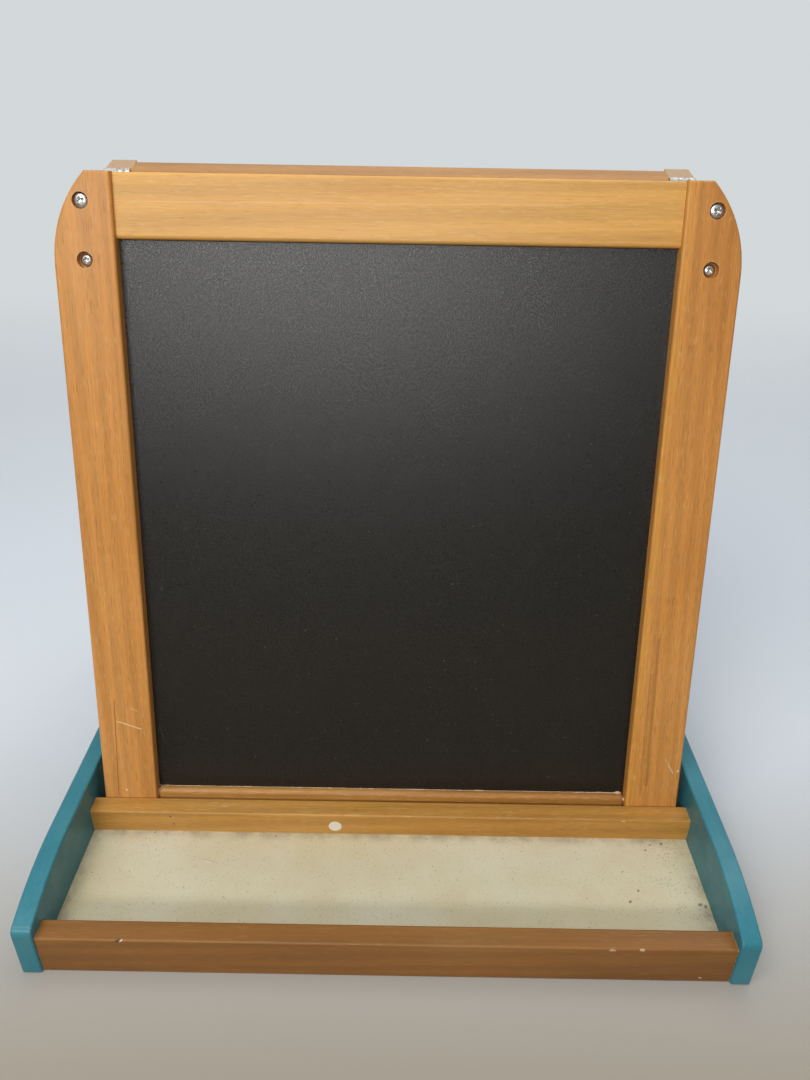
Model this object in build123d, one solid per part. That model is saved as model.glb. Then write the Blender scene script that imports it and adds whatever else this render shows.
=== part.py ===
from build123d import *
import math
import os

os.makedirs("parts", exist_ok=True)

# Childrens tabletop easel: two hinged leaves standing in a base with a tray on each side.
# Millimetres, +Z up, X across the easel, the front (chalkboard) side faces -Y.
# Origin: centre of the base on the table top.

# Leaf sizes, measured along the leaf, from the line where it meets the tray rail.
leaf_width = 480.0
leaf_length = 485.0
leaf_thickness = 30.0
leaf_lean = 13.7
leaf_top_gap = 7.0
rear_leaf_rise = 1.6
stile_width = 43.5
stile_edge_radius = 2.0
corner_arc_radius = 88.0
corner_flat_width = 18.0

# Rails of a leaf.
rail_set_back = 4.0
top_rail_height = 43.5
top_rail_radius = 2.5
bottom_rail_height = 26.0
bottom_rail_rise = 5.8
bottom_rail_nose = 4.0
bottom_rail_end_radius = 3.0

# Drawing boards.
board_thickness = 4.0
board_depth = 9.5
board_seat = 6.0
groove_clearance = 0.1

# Base.
leaf_side_gap = 7.0
side_thickness = 14.5
side_height = 59.3
side_arc_start = 80.0
side_arc_radius = 230.0
side_nose_radius = 7.0
side_foot_radius = 1.5
side_edge_radius = 1.0
tray_rail_thickness = 16.0
tray_rail_height = 36.0
tray_rail_radius = 1.5
tray_rail_inset = 2.2
floor_top = 14.4
floor_thickness = 6.0
floor_depth = 98.3
floor_seat = 5.0
floor_end_clearance = 0.1
foot_clearance = 0.1

# Hinge screws and the holes they sit in.
screw_drop = 19.3
screw_pitch = 38.6
counterbore_diameter = 11.2
upper_counterbore_depth = 3.4
lower_counterbore_depth = 5.4
upper_head_diameter = 10.2
lower_head_diameter = 8.4
head_height = 3.0
head_wall = 1.1
shank_diameter = 5.0
shank_clearance = 0.05
shank_sides = 12
bolt_sides = 24
head_crown = 0.55
recess_width = 1.3
recess_depth = 1.4
recess_turn = 25.0

# Hinges.
plate_thickness = 2.0
plate_width = 36.0
plate_length = 68.0
plate_corner = 4.0
plate_drop = 1.5
plate_arc_gap = 2.0
plate_arc_drop = 26.0
knuckle_diameter = 7.0
knuckle_length = 18.9
knuckle_gap = 0.15
knuckle_count = 3
pin_diameter = 3.0
pin_clearance = 0.05
pin_height = 1.9
hinge_overhang = 4.0

# Bolts through the side panels into the ends of the tray rails.
tray_bolt_z = 20.0
tray_bolt_grip = 34.0
tray_bolt_counterbore = 3.6
tray_bolt_offset = 1.5

# Paper dot on the tray rail.
sticker_diameter = 10.6
sticker_thickness = 0.3
sticker_x = -45.7
sticker_z = 23.5

lean = math.radians(leaf_lean)
half_width = leaf_width / 2
side_inner_gap = leaf_width + 2 * leaf_side_gap
seat_z = tray_rail_height
opening = leaf_width - 2 * stile_width
foot_reach = (seat_z + rear_leaf_rise) / math.cos(lean) + leaf_thickness * math.tan(lean)

# The leaf's top is placed by the gap between the two leaves, and the trays follow its foot.
top_y = -(leaf_top_gap / 2 + leaf_thickness * math.cos(lean))
base_y = top_y - leaf_length * math.sin(lean)
inner_rail_y = base_y - foot_clearance - tray_rail_thickness / 2
floor_front_y = inner_rail_y - tray_rail_thickness / 2 - floor_depth
outer_rail_y = floor_front_y - tray_rail_thickness / 2
half_depth = tray_rail_thickness / 2 + tray_rail_inset - outer_rail_y
base_z = seat_z
pin_z = base_z + leaf_length * math.cos(lean) - leaf_thickness * math.sin(lean) + pin_height


def lay(shape, rise=0):
    # From the leaf's own frame (X across, Y into the leaf, Z up the leaf) to its place in the easel.
    return Location((0, base_y, base_z + rise), (-leaf_lean, 0, 0)) * shape


def block(x0, x1, y0, y1, z0, z1):
    # A box between six planes.
    box = Box(x1 - x0, y1 - y0, z1 - z0)
    return Pos((x0 + x1) / 2, (y0 + y1) / 2, (z0 + z1) / 2) * box


def rod(radius, length, x, y, z, turn):
    # A round bar from a point along one axis: turn is the rotation from +Z.
    bar = Cylinder(radius, length, align=(Align.CENTER, Align.CENTER, Align.MIN))
    return Location((x, y, z), turn) * bar


def flats(sides, radius, length, x, y, z, turn):
    # A fastener's shank or head, or the hole for it, as a bar with many flats.
    bar = extrude(RegularPolygon(radius, sides), length)
    return Location((x, y, z), turn) * bar


upright = (0, 0, 0)
along_x = (0, 90, 0)
along_back = (-90, 0, 0)


def trim_feet(shape, rise):
    # The feet stand flat on the table and bear on the tray rail with an upright facet.
    wide = leaf_width
    far = half_depth
    deep = leaf_length
    under = block(-wide, wide, -far, far, -deep, 0)
    front = block(-wide, wide, -far, base_y, -deep, seat_z + rise)
    return shape - under - front


def screw_x(side):
    # Screws sit on the stile's centre line.
    return side * (half_width - stile_width / 2)


def stile(side, rise=0):
    # Upright bar with a flat top and a large arc on its outer top corner.
    outer = side * half_width
    inner = side * (half_width - stile_width)
    flat = side * (half_width - stile_width + corner_flat_width)
    run = stile_width - corner_flat_width
    cos_end = 1 - run / corner_arc_radius
    turn = math.acos(cos_end)
    arc_low = leaf_length - corner_arc_radius * math.sin(turn)
    mid_x = outer - side * corner_arc_radius * (1 - math.cos(turn / 2))
    mid_z = arc_low + corner_arc_radius * math.sin(turn / 2)
    low = -foot_reach
    with BuildPart() as bar:
        with BuildSketch(Plane.XZ):
            with BuildLine():
                Line((inner, low), (outer, low))
                Line((outer, low), (outer, arc_low))
                ThreePointArc((outer, arc_low), (mid_x, mid_z), (flat, leaf_length))
                Line((flat, leaf_length), (inner, leaf_length))
                Line((inner, leaf_length), (inner, low))
            make_face()
        extrude(amount=-leaf_thickness)
        fillet(bar.faces().sort_by(Axis.Y)[0].edges(), stile_edge_radius)
        chamfer(bar.faces().sort_by(Axis.Y)[-1].edges(), stile_edge_radius / 2)
    body = bar.part
    # Groove for the board.
    groove = board_thickness + groove_clearance
    x0 = inner - side * 1.0
    x1 = inner + side * (board_seat + groove_clearance)
    y0 = board_depth - groove_clearance / 2
    z0 = bottom_rail_rise - board_seat - groove_clearance
    z1 = leaf_length - top_rail_height + board_seat + groove_clearance
    body = body - block(min(x0, x1), max(x0, x1), y0, y0 + groove, z0, z1)
    # Holes for the hinge screws.
    depths = (upper_counterbore_depth, lower_counterbore_depth)
    for row, depth in enumerate(depths):
        z = leaf_length - screw_drop - row * screw_pitch
        x = screw_x(side)
        body = body - rod(counterbore_diameter / 2, depth + 1, x, -1, z, along_back)
        body = body - flats(shank_sides, shank_diameter / 2 + shank_clearance, leaf_thickness + 2, x, -1, z, along_back)
    return trim_feet(lay(body, rise), rise)


def top_rail(rise=0):
    # Bar between the stiles, set back from their faces, with eased edges.
    half = opening / 2
    z0 = leaf_length - top_rail_height
    thick = leaf_thickness - 2 * rail_set_back
    y0 = rail_set_back
    bar = block(-half, half, y0, y0 + thick, z0, leaf_length)
    bar = fillet(bar.edges().filter_by(Axis.X), top_rail_radius)
    groove0 = board_depth - groove_clearance / 2
    groove1 = groove0 + board_thickness + groove_clearance
    bar = bar - block(-half - 1, half + 1, groove0, groove1, z0 - 1, z0 + board_seat + groove_clearance)
    return lay(bar, rise)


def bottom_rail(rise=0):
    # Low bar with a rounded nose; most of it is behind the tray rail.
    half = opening / 2
    z1 = bottom_rail_rise
    z0 = z1 - bottom_rail_height
    thick = leaf_thickness - 2 * rail_set_back
    y0 = rail_set_back
    bar = block(-half, half, y0, y0 + thick, z0, z1)
    tops = bar.edges().filter_by(Axis.X).group_by(Axis.Z)[-1]
    bar = fillet(tops, bottom_rail_nose)
    ends = bar.edges().filter_by(Axis.Y).group_by(Axis.Z)[-1]
    bar = fillet(ends, bottom_rail_end_radius)
    groove0 = board_depth - groove_clearance / 2
    groove1 = groove0 + board_thickness + groove_clearance
    low = z1 - board_seat - groove_clearance
    bar = bar - block(-half - 1, half + 1, groove0, groove1, low, z1 + 1)
    return trim_feet(lay(bar, rise), rise)


def board(rise=0):
    # Thin panel held in the grooves of the frame.
    half = opening / 2 + board_seat
    z0 = bottom_rail_rise - board_seat
    z1 = leaf_length - top_rail_height + board_seat
    return lay(block(-half, half, board_depth, board_depth + board_thickness, z0, z1), rise)


def screw_head(head):
    # Pan head with a cross recess, from a profile turned about its axis.
    rim = head / 2
    profile = [(0, 0), (rim, 0), (rim, head_wall), (rim * head_crown, head_height), (0, head_height)]
    with BuildPart() as cap:
        with BuildSketch(Plane.XZ):
            with BuildLine():
                Polyline(*profile, close=True)
            make_face()
        revolve(axis=Axis.Z)
        for angle in (0, 90):
            with Locations(Location((0, 0, head_height), (0, 0, angle + recess_turn))):
                Box(head * head_crown, recess_width, recess_depth * 2, mode=Mode.SUBTRACT)
    return cap.part


def screw_at(x, y, z, cap, turn, length):
    # A head on its shank: the point is the seat under the head.
    stem = flats(shank_sides, shank_diameter / 2, length + head_wall, 0, 0, -length, upright)
    return Location((x, y, z), turn) * (cap + stem)


def hinge_screws(row, rise=0):
    # One pair of screws across the leaf, heads in the counterbores.
    depth = (upper_counterbore_depth, lower_counterbore_depth)[row]
    head = (upper_head_diameter, lower_head_diameter)[row]
    z = leaf_length - screw_drop - row * screw_pitch
    length = leaf_thickness - depth + plate_thickness
    solids = []
    for side in (-1, 1):
        solids.append(lay(screw_at(screw_x(side), depth, z, screw_head(head), (90, 0, 0), length), rise))
    return solids


def knuckle_span(part):
    # X span of one knuckle, counted from the inner end of the barrel.
    step = knuckle_length / knuckle_count
    start = half_width - stile_width - hinge_overhang + part * step + knuckle_gap / 2
    return start, start + step - knuckle_gap


def hinge_plate(side, odd, rise=0):
    # Flat plate on the back of a stile, cut back from the stile's arc, with its share of the knuckles.
    inner = half_width - stile_width - hinge_overhang
    outer = inner + plate_width
    top = leaf_length - plate_drop - rise
    low = leaf_length - plate_length
    shoulder = half_width - stile_width + corner_flat_width - plate_arc_gap
    outline = [(inner, top), (shoulder, top), (outer, top - plate_arc_drop), (outer, low + plate_corner)]
    outline = outline + [(outer - plate_corner, low), (inner + plate_corner, low), (inner, low + plate_corner)]
    face = make_face(Polyline(*[(side * x, z) for x, z in outline], close=True))
    plate = extrude(Plane.XZ.offset(-leaf_thickness) * face, amount=plate_thickness, dir=(0, 1, 0))
    for row in (0, 1):
        z = leaf_length - screw_drop - row * screw_pitch
        hole = shank_diameter / 2 + shank_clearance
        plate = plate - flats(shank_sides, hole, plate_thickness + 2, screw_x(side), leaf_thickness - 1, z, along_back)
    plate = lay(plate, rise)
    back = leaf_thickness + plate_thickness
    parts = [k for k in range(knuckle_count) if k % 2 == odd]
    for k in parts:
        start, end = knuckle_span(k)
        left = min(side * start, side * end)
        tube = rod(knuckle_diameter / 2, end - start, left, 0, pin_z, along_x)
        # A short web joins the knuckle to the plate.
        web_top = leaf_length + pin_height - rise
        web = block(left, left + end - start, leaf_thickness, back, top - plate_corner, web_top)
        plate = plate + tube + lay(web, rise)
    bore = rod(pin_diameter / 2 + pin_clearance, leaf_width * 2, -leaf_width, 0, pin_z, along_x)
    return plate - bore


def hinge_pin(side):
    # Pin through all knuckles, flush with their ends.
    x0 = half_width - stile_width - hinge_overhang
    left = min(side * x0, side * (x0 + knuckle_length))
    return rod(pin_diameter / 2, knuckle_length, left, 0, pin_z, along_x)


def side_panel(side):
    # Long panel of the base: flat top, then an arc down to a rounded nose at each end.
    drop_turn = math.asin(side_arc_start / side_arc_radius)
    end_y = half_depth
    arc_y = half_depth - side_arc_start
    end_z = side_height - side_arc_radius * (1 - math.cos(drop_turn))
    mid_y = arc_y + side_arc_radius * math.sin(drop_turn / 2)
    mid_z = side_height - side_arc_radius * (1 - math.cos(drop_turn / 2))
    with BuildPart() as panel:
        with BuildSketch(Plane.YZ):
            with BuildLine():
                Line((-end_y, 0), (end_y, 0))
                Line((end_y, 0), (end_y, end_z))
                ThreePointArc((end_y, end_z), (mid_y, mid_z), (arc_y, side_height))
                Line((arc_y, side_height), (-arc_y, side_height))
                ThreePointArc((-arc_y, side_height), (-mid_y, mid_z), (-end_y, end_z))
                Line((-end_y, end_z), (-end_y, 0))
            make_face()
        extrude(amount=side_thickness)
        ends = panel.edges().filter_by(Axis.X)
        noses = ends.filter_by(lambda e: abs(e.center().Y) > arc_y + 1 and e.center().Z > 1)
        fillet(noses, side_nose_radius)
        feet = panel.edges().filter_by(Axis.X).filter_by(lambda e: e.center().Z < 1)
        chamfer(feet, side_foot_radius)
        faces = panel.faces().sort_by(Axis.X)
        chamfer(faces[0].edges() + faces[-1].edges(), side_edge_radius)
    x0 = side_inner_gap / 2 if side > 0 else -side_inner_gap / 2 - side_thickness
    body = Pos(x0, 0, 0) * panel.part
    return body - tray_bolts(side, shank_clearance)


def bolt_lines():
    # Y of the bolts in the four tray rails, moved away from the groove for the floor.
    outer = outer_rail_y - tray_bolt_offset
    inner = inner_rail_y + tray_bolt_offset
    return (outer, inner, -inner, -outer)


def tray_bolts(side, grow):
    # Bolts through one side panel into the four tray rails; grown, they are their own holes.
    solids = []
    face = side * (side_inner_gap / 2 + side_thickness)
    seat = face - side * tray_bolt_counterbore
    turn = (0, 90 * side, 0)
    for y in bolt_lines():
        if grow > 0:
            hole = flats(shank_sides, shank_diameter / 2 + grow, tray_bolt_grip + grow, seat, y, tray_bolt_z, (0, -90 * side, 0))
            mouth = flats(bolt_sides, counterbore_diameter / 2, side_thickness, seat, y, tray_bolt_z, turn)
            solids.append(hole)
            solids.append(mouth)
        else:
            cap = flats(bolt_sides, upper_head_diameter / 2, head_height, 0, 0, 0, upright)
            cap = chamfer(cap.edges().group_by(Axis.Z)[-1], head_height - head_wall)
            solids.append(screw_at(seat, y, tray_bolt_z, cap, turn, tray_bolt_grip))
    return solids


def tray_rail(y, groove_side):
    # Straight bar of a tray with a groove for the floor.
    half = side_inner_gap / 2
    t = tray_rail_thickness / 2
    bar = block(-half, half, y - t, y + t, 0, tray_rail_height)
    bar = fillet(bar.edges().filter_by(Axis.X), tray_rail_radius)
    inner = y + groove_side * t
    deep = inner - groove_side * (floor_seat + groove_clearance)
    y0 = min(inner + groove_side, deep)
    y1 = max(inner + groove_side, deep)
    z0 = floor_top - floor_thickness - groove_clearance / 2
    z1 = floor_top + groove_clearance / 2
    bar = bar - block(-half - 1, half + 1, y0, y1, z0, z1)
    for side in (-1, 1):
        bar = bar - tray_bolts(side, shank_clearance)
    return bar


def tray_floor(facing):
    # Thin floor panel in the grooves of its two rails.
    half = side_inner_gap / 2 - floor_end_clearance
    near = floor_front_y - floor_seat
    far = floor_front_y + floor_depth + floor_seat
    y0 = min(facing * near, facing * far)
    y1 = max(facing * near, facing * far)
    return block(-half, half, y0, y1, floor_top - floor_thickness, floor_top)


def sticker():
    # Bare paper dot on the tray's inner rail.
    face = inner_rail_y - tray_rail_thickness / 2
    return rod(sticker_diameter / 2, sticker_thickness, sticker_x, face - sticker_thickness, sticker_z, along_back)


def save(name, shapes):
    # One node is one file; repeated pieces of a node are separate solids.
    parts = shapes if isinstance(shapes, list) else [shapes]
    solids = []
    for shape in parts:
        solids.extend(shape.solids())
    whole = Compound(children=solids) if len(solids) > 1 else solids[0]
    whole.label = name
    export_step(whole, "parts/" + name + ".step")
    print(name, len(solids))


def mirrored(shapes):
    # The rear leaf is the front leaf mirrored through the middle of the easel.
    parts = shapes if isinstance(shapes, list) else [shapes]
    return [mirror(shape, Plane.XZ) for shape in parts]


save("left_side_panel", side_panel(-1))
save("right_side_panel", side_panel(1))
save("front_tray_outer_rail", tray_rail(outer_rail_y, 1))
save("front_tray_inner_rail", tray_rail(inner_rail_y, -1))
save("front_tray_floor", tray_floor(1))
save("rear_tray_inner_rail", tray_rail(-inner_rail_y, 1))
save("rear_tray_outer_rail", tray_rail(-outer_rail_y, -1))
save("rear_tray_floor", tray_floor(-1))
save("tray_bolts", tray_bolts(-1, 0) + tray_bolts(1, 0))
save("tray_sticker", sticker())

save("front_left_stile", stile(-1))
save("front_right_stile", stile(1))
save("front_top_rail", top_rail())
save("front_bottom_rail", bottom_rail())
save("chalkboard_panel", board())
save("front_upper_hinge_screws", hinge_screws(0))
save("front_lower_hinge_screws", hinge_screws(1))
save("front_left_hinge_plate", hinge_plate(-1, 0))
save("front_right_hinge_plate", hinge_plate(1, 0))
save("hinge_pins", [hinge_pin(-1), hinge_pin(1)])

# The rear leaf stands a little higher in its tray.
rise = rear_leaf_rise
save("rear_left_stile", mirrored(stile(-1, rise)))
save("rear_right_stile", mirrored(stile(1, rise)))
save("rear_top_rail", mirrored(top_rail(rise)))
save("rear_bottom_rail", mirrored(bottom_rail(rise)))
save("whiteboard_panel", mirrored(board(rise)))
save("rear_upper_hinge_screws", mirrored(hinge_screws(0, rise)))
save("rear_lower_hinge_screws", mirrored(hinge_screws(1, rise)))
save("rear_left_hinge_plate", mirrored(hinge_plate(-1, 1, rise)))
save("rear_right_hinge_plate", mirrored(hinge_plate(1, 1, rise)))
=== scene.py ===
import math
import bmesh
import bpy
import numpy as np
from mathutils import Matrix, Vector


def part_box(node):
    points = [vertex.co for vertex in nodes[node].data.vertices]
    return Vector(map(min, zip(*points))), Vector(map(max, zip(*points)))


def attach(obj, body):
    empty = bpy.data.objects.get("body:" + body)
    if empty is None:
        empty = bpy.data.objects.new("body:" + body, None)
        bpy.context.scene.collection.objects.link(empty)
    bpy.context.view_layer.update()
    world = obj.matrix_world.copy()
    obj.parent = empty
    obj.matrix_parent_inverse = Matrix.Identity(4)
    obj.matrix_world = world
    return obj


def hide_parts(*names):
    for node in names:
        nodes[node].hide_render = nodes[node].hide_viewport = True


# Childrens tabletop easel, seen from the front: the chalkboard faces -Y, Z is up, all in metres.
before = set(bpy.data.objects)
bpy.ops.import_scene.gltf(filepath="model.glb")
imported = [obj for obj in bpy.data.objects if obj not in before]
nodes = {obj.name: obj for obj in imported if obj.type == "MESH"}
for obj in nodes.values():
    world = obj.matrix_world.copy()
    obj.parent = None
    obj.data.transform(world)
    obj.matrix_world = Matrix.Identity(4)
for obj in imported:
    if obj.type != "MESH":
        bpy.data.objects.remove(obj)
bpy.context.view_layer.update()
railLow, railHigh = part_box("front_tray_inner_rail")
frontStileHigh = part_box("front_left_stile")[1]
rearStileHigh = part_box("rear_left_stile")[1]

# The leaf's own frame: x across, depth into the leaf, height up the leaf from the tray rail's top.
leaf = {
    "lean": math.radians(13.7),
    "footY": railHigh[1] + 0.0001,
    "footZ": railHigh[2],
    "rearRise": rearStileHigh[2] - frontStileHigh[2],
    "length": 0.485,
    "thickness": 0.030,
    "boardDepth": 0.0095,
    "lowRailTop": 0.0058,
    "halfOpening": 0.1965,
}


def leafPoint(x, height, depth=0.0, rear=False):
    # a place on the leaf turned by its lean; the rear leaf is mirrored and a little higher
    sine, cosine = math.sin(leaf["lean"]), math.cos(leaf["lean"])
    y = leaf["footY"] + depth * cosine + height * sine
    z = leaf["footZ"] - depth * sine + height * cosine
    if rear:
        return x, -y, z + leaf["rearRise"]
    return x, y, z


# Node helpers
def link(tree, source, target):
    tree.links.new(source, target)


def plug(tree, socket, value):
    # a socket takes a number, a colour or another socket
    if isinstance(value, bpy.types.NodeSocket):
        tree.links.new(value, socket)
    elif isinstance(value, (tuple, list)) and socket.type == "RGBA":
        socket.default_value = (*value[:3], 1.0)
    else:
        socket.default_value = value


def calc(tree, operation, a, b=0.0, clamp=False):
    node = tree.nodes.new("ShaderNodeMath")
    node.operation = operation
    node.use_clamp = clamp
    plug(tree, node.inputs[0], a)
    plug(tree, node.inputs[1], b)
    return node.outputs[0]


def calcVector(tree, operation, a, b, output="Vector"):
    node = tree.nodes.new("ShaderNodeVectorMath")
    node.operation = operation
    plug(tree, node.inputs[0], a)
    plug(tree, node.inputs[1], b)
    return node.outputs[output]


def spread(tree, value, low, high, toLow=0.0, toHigh=1.0):
    # smooth step of a value between two limits
    node = tree.nodes.new("ShaderNodeMapRange")
    node.interpolation_type = "SMOOTHSTEP"
    limits = {"Value": value, "From Min": low, "From Max": high, "To Min": toLow, "To Max": toHigh}
    for name, item in limits.items():
        plug(tree, node.inputs[name], item)
    return node.outputs[0]


def blendColour(tree, factor, a, b, kind="MIX"):
    node = tree.nodes.new("ShaderNodeMix")
    node.data_type = "RGBA"
    node.blend_type = kind
    plug(tree, node.inputs[0], factor)
    plug(tree, node.inputs[6], a)
    plug(tree, node.inputs[7], b)
    return node.outputs[2]


def mapped(tree, vector, scale=(1, 1, 1), turn=(0, 0, 0), shift=(0, 0, 0)):
    node = tree.nodes.new("ShaderNodeMapping")
    node.inputs["Scale"].default_value = scale
    node.inputs["Rotation"].default_value = turn
    node.inputs["Location"].default_value = shift
    link(tree, vector, node.inputs["Vector"])
    return node.outputs["Vector"]


def noise(tree, vector, scale, detail=3.0, roughness=0.5):
    node = tree.nodes.new("ShaderNodeTexNoise")
    node.inputs["Detail"].default_value = detail
    node.inputs["Roughness"].default_value = roughness
    plug(tree, node.inputs["Scale"], scale)
    link(tree, vector, node.inputs["Vector"])
    return node.outputs["Fac"]


def place(tree):
    return tree.nodes.new("ShaderNodeTexCoord").outputs["Object"]


def splitAxes(tree, vector):
    node = tree.nodes.new("ShaderNodeSeparateXYZ")
    link(tree, vector, node.inputs[0])
    return node.outputs


def bump(tree, shader, height, strength, distance):
    node = tree.nodes.new("ShaderNodeBump")
    node.inputs["Strength"].default_value = strength
    node.inputs["Distance"].default_value = distance
    link(tree, height, node.inputs["Height"])
    link(tree, node.outputs["Normal"], shader.inputs["Normal"])
    return node


def roughen(tree, shader, pattern, low, high, smooth, rough):
    # roughness that follows a pattern between two limits
    link(tree, spread(tree, pattern, low, high, smooth, rough), shader.inputs["Roughness"])


def newMaterial(name, roughness=0.5):
    material = bpy.data.materials.new(name)
    material.use_nodes = True
    shader = material.node_tree.nodes["Principled BSDF"]
    shader.inputs["Roughness"].default_value = roughness
    return material, material.node_tree, shader


def dress(material, *names):
    for name in names:
        data = nodes[name].data
        data.materials.clear()
        data.materials.append(material)


def newGroup(name, inputs, outputs):
    # a node group with named sockets; inputs are (name, kind, value)
    group = bpy.data.node_groups.new(name, "ShaderNodeTree")
    for socketName, kind, value in inputs:
        socket = group.interface.new_socket(socketName, in_out="INPUT", socket_type="NodeSocket" + kind)
        if value is not None:
            socket.default_value = value
    for socketName in outputs:
        group.interface.new_socket(socketName, in_out="OUTPUT", socket_type="NodeSocketFloat")
    return group, group.nodes.new("NodeGroupInput").outputs, group.nodes.new("NodeGroupOutput").inputs


def useGroup(tree, group, **values):
    node = tree.nodes.new("ShaderNodeGroup")
    node.node_tree = group
    for name, value in values.items():
        plug(tree, node.inputs[name], value)
    return node.outputs


# Patterns of the wood grain: squeeze along Z, scale, detail and roughness of the noise
grainPatterns = {
    "fibre": (0.018, 620, 4, 0.6),
    "pores": (0.06, 1500, 1, 0.4),
    "flecks": (0.09, 1100, 1, 0.4),
    "clouds": (0.22, 13, 3, 0.55),
}
ringPattern = {"detail": 2.0, "detailScale": 1.3, "squeeze": (1, 0.7, 0.035)}


def grainNoise(tree, vector, name, shift=(0, 0, 0)):
    squeeze, scale, detail, roughness = grainPatterns[name]
    return noise(tree, mapped(tree, vector, (1, 1, squeeze), shift=shift), scale, detail, roughness)


def woodGrainGroup():
    # grain along Z: thin fibres, broad growth rings, short pores, pale flecks and slow clouds
    group, start, end = newGroup("woodGrain", (
        ("Vector", "Vector", None), ("Ring", "Float", 60.0), ("Bend", "Float", 5.0),
    ), ("Fibre", "Rings", "Pores", "Flecks", "Clouds"))
    vector = start["Vector"]
    link(group, grainNoise(group, vector, "fibre"), end["Fibre"])
    wave = group.nodes.new("ShaderNodeTexWave")
    wave.bands_direction = "DIAGONAL"
    wave.inputs["Detail"].default_value = ringPattern["detail"]
    wave.inputs["Detail Scale"].default_value = ringPattern["detailScale"]
    link(group, mapped(group, vector, ringPattern["squeeze"]), wave.inputs["Vector"])
    link(group, start["Ring"], wave.inputs["Scale"])
    link(group, start["Bend"], wave.inputs["Distortion"])
    link(group, wave.outputs["Fac"], end["Rings"])
    link(group, spread(group, grainNoise(group, vector, "pores"), 0.40, 0.31), end["Pores"])
    flecks = grainNoise(group, vector, "flecks", shift=(3, 1, 2))
    link(group, spread(group, flecks, 0.60, 0.70), end["Flecks"])
    link(group, grainNoise(group, vector, "clouds"), end["Clouds"])
    return group


def edgeWearGroup():
    # 1 where the surface turns sharply, broken up by noise
    group, start, end = newGroup("edgeWear", (
        ("Vector", "Vector", None), ("Radius", "Float", 0.0012),
        ("Breakup", "Float", 0.45), ("Scale", "Float", 220.0),
    ), ("Mask",))
    bevel = group.nodes.new("ShaderNodeBevel")
    bevel.samples = 6
    link(group, start["Radius"], bevel.inputs["Radius"])
    facing = group.nodes.new("ShaderNodeNewGeometry").outputs["True Normal"]
    flatness = calcVector(group, "DOT_PRODUCT", bevel.outputs["Normal"], facing, "Value")
    turn = calc(group, "SUBTRACT", 1.0, flatness)
    edge = spread(group, turn, 0.01, 0.10)
    grain = noise(group, start["Vector"], start["Scale"], 4)
    broken = calc(group, "MULTIPLY", calc(group, "SUBTRACT", grain, start["Breakup"]), 7.0, clamp=True)
    link(group, calc(group, "MULTIPLY", edge, broken), end["Mask"])
    return group


def scratchGroup():
    # distance to a line between two points, with a wavering edge; a very short line makes a dot
    group, start, end = newGroup("scratchMark", (
        ("Vector", "Vector", None), ("Start", "Vector", (0, 0, 0)), ("End", "Vector", (0, 0, 0)),
        ("Width", "Float", 0.0005), ("Waver", "Float", 0.8),
    ), ("Mask",))
    along = calcVector(group, "SUBTRACT", start["End"], start["Start"])
    offset = calcVector(group, "SUBTRACT", start["Vector"], start["Start"])
    share = calc(group, "DIVIDE", calcVector(group, "DOT_PRODUCT", offset, along, "Value"),
                 calcVector(group, "DOT_PRODUCT", along, along, "Value"), clamp=True)
    scaled = group.nodes.new("ShaderNodeVectorMath")
    scaled.operation = "SCALE"
    link(group, along, scaled.inputs[0])
    link(group, share, scaled.inputs["Scale"])
    away = calcVector(group, "DISTANCE", offset, scaled.outputs[0], "Value")
    ragged = calc(group, "SUBTRACT", noise(group, start["Vector"], 900, 2), 0.5)
    ragged = calc(group, "MULTIPLY", ragged, start["Waver"])
    ragged = calc(group, "MULTIPLY", ragged, calc(group, "MULTIPLY", start["Width"], 2.0))
    away = calc(group, "ADD", away, ragged)
    core = calc(group, "MULTIPLY", start["Width"], 0.45)
    link(group, spread(group, away, start["Width"], core), end["Mask"])
    return group


woodGrain = woodGrainGroup()
edgeWear = edgeWearGroup()
scratchMark = scratchGroup()
print("groups made")


def addMarks(tree, vector, colour, marks):
    # each mark: start, end, width, colour, strength
    for begin, finish, width, tint, strength in marks:
        mask = useGroup(tree, scratchMark, Vector=vector, Start=begin, End=finish, Width=width)["Mask"]
        colour = blendColour(tree, calc(tree, "MULTIPLY", mask, strength), colour, tint)
    return colour


# Stained wood: three tones of honey stain, from dark to light
stains = {
    "stile": ((0.460, 0.175, 0.030), (0.565, 0.240, 0.052), (0.640, 0.300, 0.085)),
    "topRail": ((0.600, 0.290, 0.062), (0.665, 0.350, 0.088), (0.720, 0.405, 0.125)),
    "lowRail": ((0.340, 0.135, 0.025), (0.420, 0.185, 0.038), (0.520, 0.260, 0.070)),
    "innerRail": ((0.410, 0.185, 0.032), (0.500, 0.240, 0.046), (0.580, 0.310, 0.085)),
    "outerRail": ((0.200, 0.078, 0.014), (0.262, 0.108, 0.020), (0.325, 0.155, 0.042)),
}
woodFinish = {
    "fibreTone": (0.91, 1.05),
    "ringTone": (0.92, 1.04),
    "wearScale": 240.0,
    "wearRadius": 0.0011,
    "wearMix": 0.65,
    "endMix": 0.65,
    "relief": 0.20,
    "reliefDepth": 0.0003,
    "roughness": 0.44,
    "specular": 0.30,
    "lacquer": 0.10,
    "lacquerRoughness": 0.26,
    "pore": (0.20, 0.075, 0.018),
    "fleck": (0.78, 0.53, 0.24),
    "bare": (0.74, 0.50, 0.27),
    "endGrain": (0.40, 0.30, 0.20),
}
uprightTurn = (leaf["lean"], 0, 0)
rearTurn = (-leaf["lean"], 0, 0)
acrossTurn = (0, math.radians(90), 0)


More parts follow.
